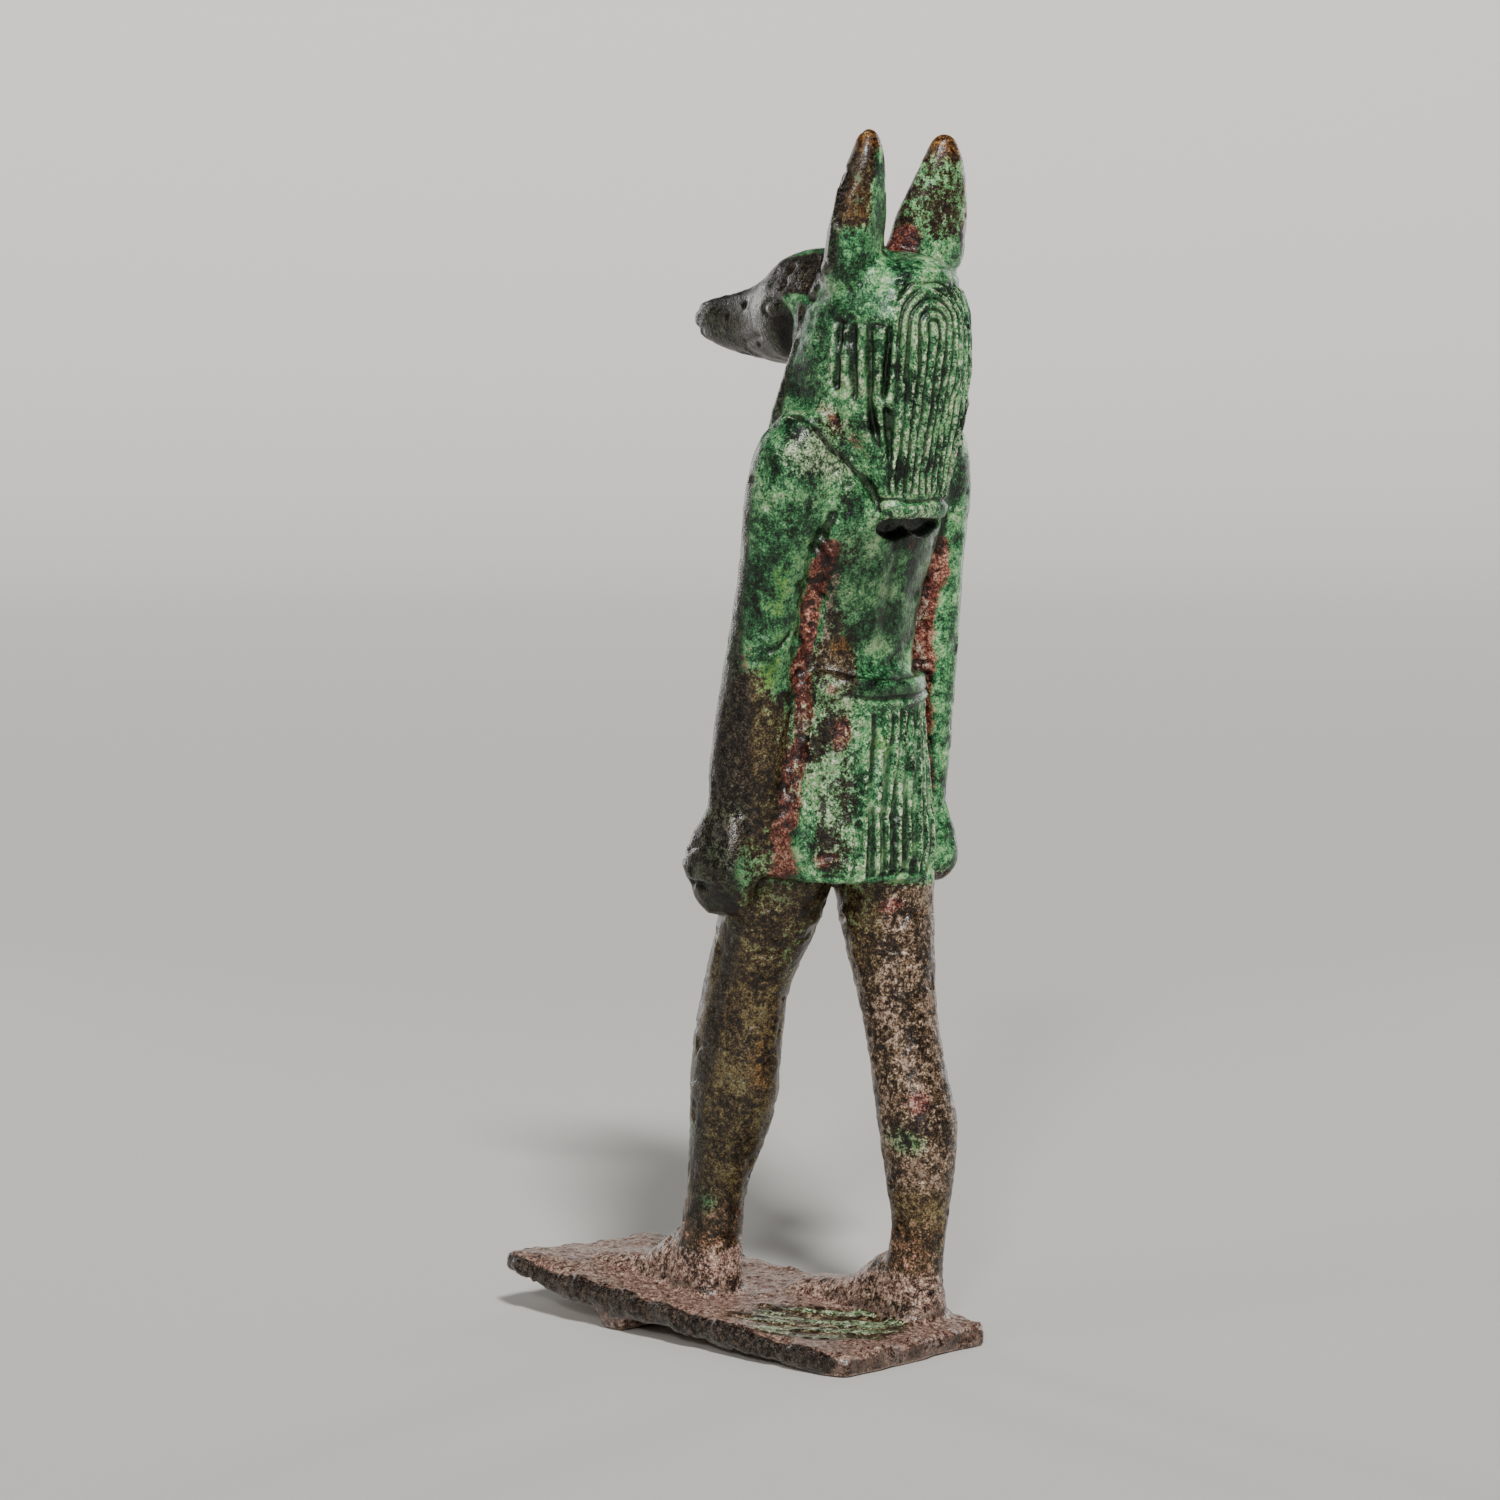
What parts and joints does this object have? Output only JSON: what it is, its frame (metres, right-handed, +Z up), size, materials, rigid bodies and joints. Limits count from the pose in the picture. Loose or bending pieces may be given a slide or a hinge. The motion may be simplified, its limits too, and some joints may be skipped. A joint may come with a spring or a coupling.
{
  "type": "striding anubis figure",
  "caption": "Small solid-cast bronze of a striding man with a jackal's head, pleated kilt and striped wig, cast in one piece with a thin ragged base plate.",
  "frame": {"origin": "centre of the bounding box at the underside, on the surface it stands on", "axes": "+Z up, the figure faces -Y, its left side is +X"},
  "size_m": [0.0318, 0.0494, 0.1204],
  "materials": {
    "bronze": "old cast bronze, green and brown patina, pitted"
  },
  "bodies": {
    "root": {"anubis_figure": "bronze"}
  },
  "joints": []
}
